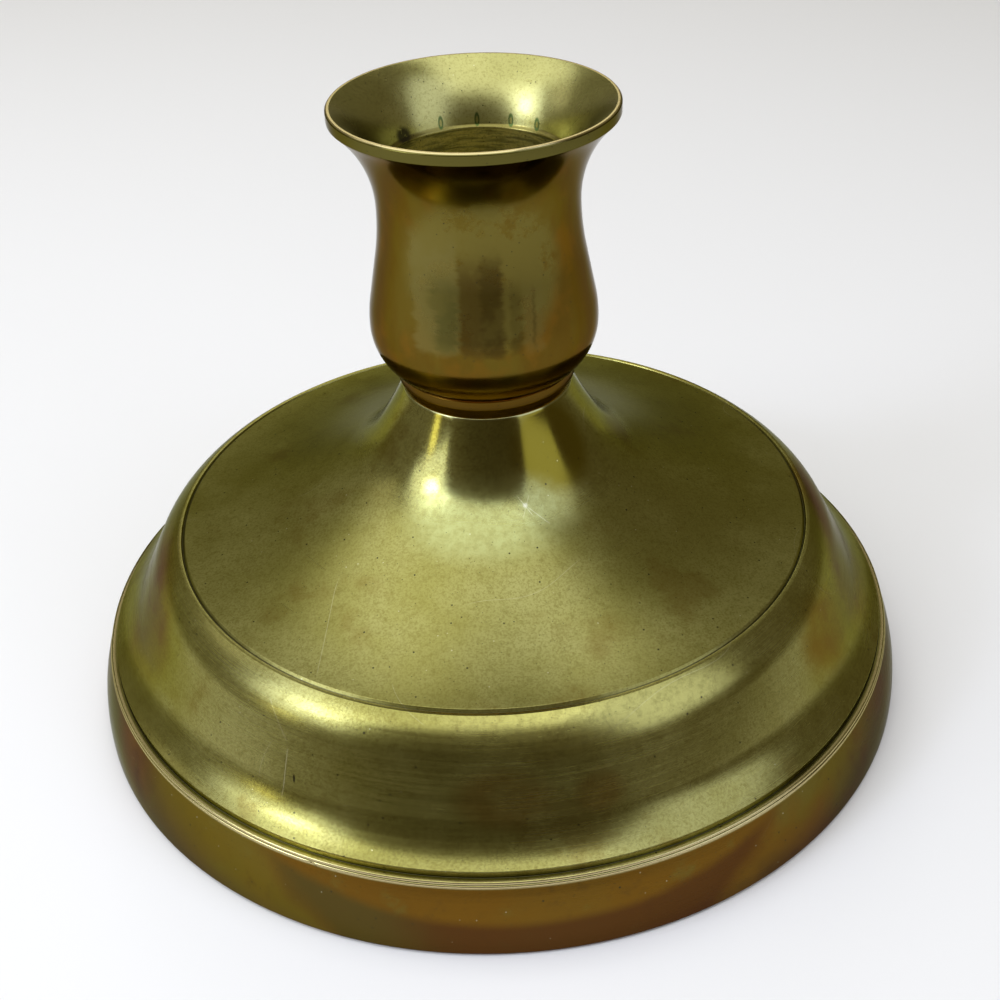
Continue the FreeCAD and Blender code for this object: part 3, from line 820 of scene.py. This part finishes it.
def bore_brass():
    """The funnel and the candle's bore: satin, with green spots where wax was left."""
    graph = Graph("bore_brass")
    _, z, rings = turned_places(graph)
    cloud = graph.noise(BORE_CLOUD)
    grain = graph.noise(GRAIN)
    marks = graph.noise(RING_MARKS, rings)
    colour = graph.mix(graph.between(cloud, 0.4, 0.68), GOLD_BRASS, PALE_BRASS)
    bore = graph.fade(z, BORE_TOP, 1.0, 0.0)
    ringed = graph.mix(graph.between(marks, 0.45, 0.6), INNER_BRASS, GOLD_BRASS)
    colour = graph.paint(colour, bore, ringed)
    colour = graph.paint(colour, graph.strip(z, BORE_EDGE, 0.12), BROWN_OLIVE, 0.85)
    colour = graph.paint(colour, graph.between(grain, 0.45, 0.7, 0.0, 0.5), BROWN_OLIVE)
    colour = graph.paint(colour, graph.specks(*BORE_DARK_SPECKS), DIRT)
    colour = graph.paint(colour, graph.specks(*BORE_BRIGHT_SPECKS), DUST_AND_GLINT, 0.5)
    for degrees in SPOT_ANGLES:
        place = round_place(degrees, *SPOT_PLACE)
        reach = Vector(SPOT_REACH) * MM
        colour = graph.paint(colour, graph.spot(place, reach, 0.3), VERDIGRIS, 0.85)
        colour = graph.paint(colour, graph.spot(place, reach * 0.55, 0.4), OLIVE_BRASS)
    clump = graph.spot(round_place(CLUMP_ANGLE, *CLUMP_PLACE), Vector(CLUMP_REACH) * MM, 0.5)
    broken = graph.between(graph.noise(CLUMP_HOLES), 0.34, 0.44)
    colour = graph.paint(colour, graph.times(clump, broken), DIRT)
    normal = graph.bump(marks, 0.006)
    normal = graph.bump(grain, 0.002, normal)
    roughness = graph.blend(bore, graph.between(cloud, 0.3, 0.75, 0.24, 0.32), BORE_SATIN)
    graph.film(weight=0.3, roughness=0.2)
    return graph.finish(colour, roughness, normal=normal, edge_tint=EDGE_TINT)


def fixing_steel():
    """Dull plated steel with a little rust."""
    graph = Graph("fixing_steel")
    cloud = graph.noise(RUST_CLOUD)
    colour = graph.mix(graph.between(cloud, 0.55, 0.75), STEEL, RUST)
    normal = graph.bump(graph.noise(STEEL_GRAIN), 0.01)
    return graph.finish(colour, graph.between(cloud, 0.3, 0.7, 0.35, 0.6), normal=normal)


def floor_paper():
    """Pale matt paper."""
    graph = Graph("floor_paper")
    return graph.finish(FLOOR_TINT, roughness=0.9, metallic=0.0)


BASE_BRASS = base_brass()
CAST_BRASS = cast_brass()
CUP_BRASS = cup_brass()
BORE_BRASS = bore_brass()
FIXING_STEEL = fixing_steel()

# Zones of an outline: the first or the second material of its piece
OUTSIDE, INSIDE = 0, 1

# A small dent in the base's lower reed, millimetres
NICK_ANGLE = math.radians(-115.1)
NICK_HALF_WIDTH = math.radians(0.55)
NICK_DEPTH = 0.3
NICK_INNER_RADIUS = 57.0
NICK_LOW, NICK_HIGH = 10.0, 10.56
NICK_STEPS = 4
# Share of a step that is kept free beside the dent's own
NICK_ROOM = 0.25

# Outlines: radius, height, step to the next row, corner radius, zone. A number is an arc's radius.
# Base, millimetres
BASE_OUTLINE = [
    (3.3, 45.95, "line", 0.1, INSIDE),
    (7.6, 45.95, "line", 0.1, INSIDE),
    (7.6, SEAT, "line", 0.15, OUTSIDE),
    (11.5, SEAT, 51.0, 0.22, OUTSIDE),
    (15.6, 40.25, "smooth", 0, OUTSIDE),
    (21.6, 34.7, "smooth", 0, OUTSIDE),
    (44.35, 26.877, "line", 0.1, OUTSIDE),
    (44.7, 26.4, "line", 0.12, OUTSIDE),
    (44.9, 26.75, "line", 0.06, OUTSIDE),
    (45.4, 26.75, "into", 0.12, OUTSIDE),
    (49.25, 22.55, "line", 0, OUTSIDE),
    (52.45, 16.4, "smooth", 0, OUTSIDE),
    (56.75, 11.85, "line", 0.12, OUTSIDE),
    (56.75, 10.85, "line", 0.1, OUTSIDE),
    (57.5, 10.85, "line", 0.05, OUTSIDE),
    (57.5, 11.0, -0.28, 0.03, OUTSIDE),
    (57.65, 10.525, -0.28, 0, OUTSIDE),
    (57.8, 10.05, -23.0, 0, OUTSIDE),
    (FOOT_RADIUS, 0.5, "line", 0.2, OUTSIDE),
    (FOOT_RADIUS - 0.5, 0, "line", 0.2, OUTSIDE),
    (56.4, 0, "line", 0.3, OUTSIDE),
    (56.4, 3.0, "line", 0.6, INSIDE),
    (53.75, 10.85, "line", 1.5, INSIDE),
    (49.45, 14.9, "line", 1.5, INSIDE),
    (46.25, 21.05, "line", 1.5, INSIDE),
    (42.4, 23.75, -62.0, 1.0, INSIDE),
    (20.1, 31.7, "line", 1.5, INSIDE),
    (12.6, 39.65, "line", 1.0, INSIDE),
    (3.3, 39.65, "line", 0.1, INSIDE),
]

# Cup, millimetres above its seat
CUP_OUTLINE = [
    (0, 7.9, "line", 0, INSIDE),
    (3.05, 7.9, "line", 0.1, INSIDE),
    (3.05, -1.2, "line", 0.2, INSIDE),
    (7.5, -1.2, "line", 0.2, OUTSIDE),
    (7.5, 0, "line", 0.1, OUTSIDE),
    (11.5, 0, "line", 0.15, OUTSIDE),
    (12.05, 1.55, "line", 0.5, OUTSIDE),
    (12.05, 2.7, "line", 0.12, OUTSIDE),
    (11.83, 2.9, "line", 0.1, OUTSIDE),
    (12.36, 3.1, "into", 0.1, OUTSIDE),
    (15.16, 9.05, "into", 0, OUTSIDE),
    (14.82, 12.55, "line", 0, OUTSIDE),
    (13.6, 18.65, "smooth", 0, OUTSIDE),
    (12.94, 25.35, "smooth", 0, OUTSIDE),
    (17.9, 36.45, "line", 0.12, OUTSIDE),
    (17.9, 37.63, "line", 0.15, OUTSIDE),
    (17.68, 37.85, "line", 0.1, OUTSIDE),
    (17.35, 37.85, 15.2, 0.12, INSIDE),
    (12.0, 30.45, "line", 1.0, INSIDE),
    (11.65, 30.1, "line", 0.5, INSIDE),
    (11.65, 11.3, "line", 0, INSIDE),
    (10.45, 10.1, "line", 0.3, INSIDE),
    (0, 10.1, "line", 0, INSIDE),
]


def nick(radius, height, angle):
    """Moves a point of the base inwards where the dent is."""
    off = (angle - NICK_ANGLE + math.pi) % math.tau - math.pi
    if abs(off) > NICK_HALF_WIDTH or not NICK_LOW < height < NICK_HIGH or radius < NICK_INNER_RADIUS:
        return radius, height
    share = 0.5 + 0.5 * math.cos(math.pi * off / NICK_HALF_WIDTH)
    middle = (NICK_LOW + NICK_HIGH) / 2
    level = 1 - abs(height - middle) / (NICK_HIGH - middle)
    return radius - NICK_DEPTH * share * level, height


def base_angles():
    """Even steps round the base, with closer ones at the dent."""
    close = [(NICK_ANGLE + NICK_HALF_WIDTH * i / NICK_STEPS) % math.tau
             for i in range(-NICK_STEPS, NICK_STEPS + 1)]
    room = math.tau / TURN_STEPS * NICK_ROOM
    apart = [angle for angle in even_angles(TURN_STEPS)
             if min(abs(angle - other) for other in close) > room]
    return sorted(apart + close)


def build_base():
    base = lathe("turned_base", BASE_OUTLINE, True, [BASE_BRASS, CAST_BRASS], base_angles(), nick)
    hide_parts("base")
    return base


def build_cup():
    outline = [(radius, height + SEAT, *rest) for radius, height, *rest in CUP_OUTLINE]
    cup = lathe("turned_cup", outline, False, [CUP_BRASS, BORE_BRASS])
    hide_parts("candle_cup")
    return cup


# Fixings: M6, millimetres
THREAD_RADIUS = 3.0
THREAD_DEPTH = 0.55
THREAD_PITCH = 1.0
THREAD_STEPS = 48
ROWS_PER_PITCH = 8
# Depths that the ridge's sides fall in a pitch, less what its flat crest keeps
THREAD_FALL = 2.6
THREAD_CREST = 0.2
STUD_CHAMFER = 0.5
WASHER_HOLE = 3.2
NUT_FLATS = 10.0
NUT_CHAMFER = 0.9
NUT_CHAMFER_HEIGHT = 0.5
NUT_HOLE = 3.05
NUT_HOLE_CHAMFER = 0.35
NUT_STEPS = 120
NUT_ROWS = 40
# The nut's edges that turn more than this are shaded sharp
NUT_SHARP_ANGLE = math.radians(25)


def build_stud():
    """A threaded rod: a ridge that climbs one pitch in each turn, with a chamfer at both ends."""
    low, high = stud_low.z / MM, stud_high.z / MM
    rows = round((high - low) / THREAD_PITCH * ROWS_PER_PITCH)
    verts, faces = [], []
    for i in range(rows + 1):
        height = low + (high - low) * i / rows
        end = min(height - low, high - height)
        limit = THREAD_RADIUS - max(0.0, STUD_CHAMFER - end)
        for k, angle in enumerate(even_angles(THREAD_STEPS)):
            share = (height / THREAD_PITCH - k / THREAD_STEPS) % 1
            fallen = min(1.0, max(0.0, abs(share - 0.5) * THREAD_FALL - THREAD_CREST))
            radius = min(limit, THREAD_RADIUS - THREAD_DEPTH * fallen)
            verts.append(turned_point(radius, angle, height))
    for i in range(rows):
        faces += wall_faces(i * THREAD_STEPS, (i + 1) * THREAD_STEPS, THREAD_STEPS)
    faces.append(tuple(reversed(range(THREAD_STEPS))))
    faces.append(tuple(range(rows * THREAD_STEPS, (rows + 1) * THREAD_STEPS)))
    stud = new_mesh("threaded_stud", verts, faces, [0] * len(faces), [FIXING_STEEL])
    stud.data.polygons.foreach_set("use_smooth", [len(face) == 4 for face in faces])
    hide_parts("tie_stud")
    return stud


def build_washer():
    low, high = washer_low.z / MM, washer_high.z / MM
    outer = washer_high.x / MM
    outline = [
        (WASHER_HOLE, low, "line", 0.1, OUTSIDE),
        (outer, low, "line", 0.25, OUTSIDE),
        (outer, high, "line", 0.1, OUTSIDE),
        (WASHER_HOLE, high, "line", 0.1, OUTSIDE),
    ]
    washer = lathe("pressed_washer", outline, True, [FIXING_STEEL])
    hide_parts("plain_washer")
    return washer


def build_nut():
    """A hexagon whose corners are turned off by a shallow cone above and below."""
    low, high = nut_low.z / MM, nut_high.z / MM
    corner = NUT_FLATS / math.sqrt(3)
    heights = [low + (high - low) * i / NUT_ROWS for i in range(NUT_ROWS + 1)]
    angles = even_angles(NUT_STEPS)

    def across(angle):
        """From the axis to the hexagon's side."""
        return NUT_FLATS / 2 / math.cos((angle + math.pi / 6) % (math.pi / 3) - math.pi / 6)

    def cone(height):
        return corner - NUT_CHAMFER + min(height - low, high - height) * NUT_CHAMFER / NUT_CHAMFER_HEIGHT

    hole, hole_mouth = [NUT_HOLE] * NUT_STEPS, [NUT_HOLE + NUT_HOLE_CHAMFER] * NUT_STEPS
    sections = [hole, hole_mouth]
    levels = [low + NUT_HOLE_CHAMFER, low]
    for height in heights:
        sections.append([min(across(angle), cone(height)) for angle in angles])
        levels.append(height)
    sections += [hole_mouth, hole]
    levels += [high, high - NUT_HOLE_CHAMFER]
    verts = [turned_point(radius, angle, level)
             for section, level in zip(sections, levels) for radius, angle in zip(section, angles)]
    faces = []
    for i in range(len(levels)):
        faces += wall_faces(i * NUT_STEPS, (i + 1) % len(levels) * NUT_STEPS, NUT_STEPS)
    nut = new_mesh("threaded_nut", verts, faces, [0] * len(faces), [FIXING_STEEL])
    face_outwards(nut)
    nut.data.set_sharp_from_angle(angle=NUT_SHARP_ANGLE)
    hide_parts("hex_nut")
    return nut


for piece in (build_base(), build_cup(), build_stud(), build_washer(), build_nut()):
    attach(piece, "root")


# Floor, lamps and camera
FLOOR_HALF = 2.0
# The room round the object: its colours far left and near right, and its shade in front of it
ROOM_FAR_LEFT = rgba(0.35, 0.33, 0.25)
ROOM_NEAR_RIGHT = rgba(0.17, 0.135, 0.062)
ROOM_TO_RIGHT = (1, -1, 0)
ROOM_TO_FRONT = (-0.05, -1, 0.15)
ROOM_FRONT_EDGE = (0.7, 0.95)
ROOM_FRONT_SHADE = 0.62
DAYLIGHT = (0.9, 1.0, 1.27)
SKYLIGHT = (0.94, 1.0, 1.05)
CANDLELIGHT = (1.0, 0.95, 0.45)
WHITE_LIGHT = (1, 1, 1)


def build_floor():
    half = FLOOR_HALF
    corners = [(-half, -half, 0), (half, -half, 0), (half, half, 0), (-half, half, 0)]
    floor = new_mesh("floor", corners, [(0, 1, 2, 3)], [0], [floor_paper()])


CENTRE = (cad_low + cad_high) / 2


def from_object(azimuth, elevation, distance):
    """A place round the object. Azimuth is counted from +X towards +Y."""
    turn, lift = math.radians(azimuth), math.radians(elevation)
    return CENTRE + distance * Vector((math.cos(turn) * math.cos(lift), math.sin(turn) * math.cos(lift),
                                       math.sin(lift)))


def softbox(name, place, target, width, height, radiance, tint):
    """A rectangular lamp that faces a target."""
    lamp = bpy.data.lights.new(name, "AREA")
    lamp.shape = "RECTANGLE"
    lamp.size = width
    lamp.size_y = height
    lamp.energy = radiance * math.pi * width * height
    lamp.color = tint
    stand = bpy.data.objects.new(name, lamp)
    stand.location = place
    stand.rotation_mode = "QUATERNION"
    stand.rotation_quaternion = (place - target).to_track_quat("Z", "Y")
    bpy.context.scene.collection.objects.link(stand)


# Lamps: place, target, width and height in metres, radiance, tint
LAMPS = {
    "overhead_softbox": (Vector((-0.19, -0.08, 0.65)), Vector((-0.19, -0.08, 0)), 0.8, 0.84, 1.9, SKYLIGHT),
    "left_window": (from_object(205, 34, 0.9), CENTRE, 0.48, 0.45, 2.8, DAYLIGHT),
    "left_lamp": (from_object(208, 33, 0.88), CENTRE, 0.14, 0.13, 13.0, DAYLIGHT),
    "low_lamp": (from_object(203, 15, 0.88), CENTRE, 0.1, 0.13, 3.5, CANDLELIGHT),
    "left_fill": (from_object(164, 34, 0.9), CENTRE, 0.3, 0.3, 0.8, WHITE_LIGHT),
    "right_window": (from_object(325, 39, 0.9), CENTRE, 0.58, 0.82, 1.35, DAYLIGHT),
    "back_fill": (Vector((-0.05, 1.2, 0.7)), Vector((0, 0.45, 0)), 0.5, 0.5, 1.6, WHITE_LIGHT),
}


def build_room():
    """Soft light from all round, which changes colour from far left to near right."""
    world = bpy.data.worlds.new("room")
    world.use_nodes = True
    nodes, links = world.node_tree.nodes, world.node_tree.links
    background = next(node for node in nodes if node.type == "BACKGROUND")
    way = nodes.new("ShaderNodeTexCoord")

    def toward(direction):
        """How nearly the light comes from a direction, from -1 to 1."""
        node = nodes.new("ShaderNodeVectorMath")
        node.operation = "DOT_PRODUCT"
        node.inputs[1].default_value = Vector(direction).normalized()
        links.new(way.outputs["Generated"], node.inputs[0])
        return node.outputs["Value"]

    fade = nodes.new("ShaderNodeMapRange")
    fade.inputs["From Min"].default_value = -1.0
    links.new(toward(ROOM_TO_RIGHT), fade.inputs["Value"])
    blend = nodes.new("ShaderNodeMix")
    blend.data_type = "RGBA"
    tints = [socket for socket in blend.inputs if socket.type == "RGBA"]
    tints[0].default_value = ROOM_FAR_LEFT
    tints[1].default_value = ROOM_NEAR_RIGHT
    links.new(fade.outputs["Result"], blend.inputs[0])
    shown = next(socket for socket in blend.outputs if socket.type == "RGBA")
    links.new(shown, background.inputs["Color"])
    shade = nodes.new("ShaderNodeMapRange")
    shade.interpolation_type = "SMOOTHSTEP"
    shade.inputs["From Min"].default_value = ROOM_FRONT_EDGE[0]
    shade.inputs["From Max"].default_value = ROOM_FRONT_EDGE[1]
    shade.inputs["To Min"].default_value = 1.0
    shade.inputs["To Max"].default_value = ROOM_FRONT_SHADE
    links.new(toward(ROOM_TO_FRONT), shade.inputs["Value"])
    links.new(shade.outputs["Result"], background.inputs["Strength"])
    bpy.context.scene.world = world


# Camera, from the photograph: pixels, the sensor in millimetres, then metres and radians
PICTURE_SIDE = 1000
FOCAL_PIXELS = 1377.88
CENTRE_PIXEL = (530, 560)
SENSOR_WIDTH = 36.0
NEAREST_SEEN = 0.01
CAMERA_PLACE = Vector((0, -0.16533, 0.14150))
CAMERA_PITCH = 0.651938
CAMERA_YAW = 0.0303365
CAMERA_ROLL = -0.0319925


def build_camera():
    sight = bpy.data.cameras.new("camera")
    sight.sensor_width = SENSOR_WIDTH
    sight.lens = SENSOR_WIDTH * FOCAL_PIXELS / PICTURE_SIDE
    sight.shift_x = 0.5 - CENTRE_PIXEL[0] / PICTURE_SIDE
    sight.shift_y = CENTRE_PIXEL[1] / PICTURE_SIDE - 0.5
    sight.clip_start = NEAREST_SEEN
    forward = Vector((math.sin(CAMERA_YAW) * math.cos(CAMERA_PITCH),
                      math.cos(CAMERA_YAW) * math.cos(CAMERA_PITCH),
                      -math.sin(CAMERA_PITCH)))
    level = Vector((math.cos(CAMERA_YAW), -math.sin(CAMERA_YAW), 0))
    upward = level.cross(forward)
    right = level * math.cos(CAMERA_ROLL) + upward * math.sin(CAMERA_ROLL)
    up = upward * math.cos(CAMERA_ROLL) - level * math.sin(CAMERA_ROLL)
    turned = Matrix((right, up, -forward)).transposed().to_4x4()
    camera = bpy.data.objects.new("camera", sight)
    camera.matrix_world = Matrix.Translation(CAMERA_PLACE) @ turned
    bpy.context.scene.collection.objects.link(camera)
    bpy.context.scene.camera = camera


build_floor()
build_room()
for name, row in LAMPS.items():
    softbox(name, *row)
build_camera()
bpy.context.scene.view_settings.view_transform = "Standard"
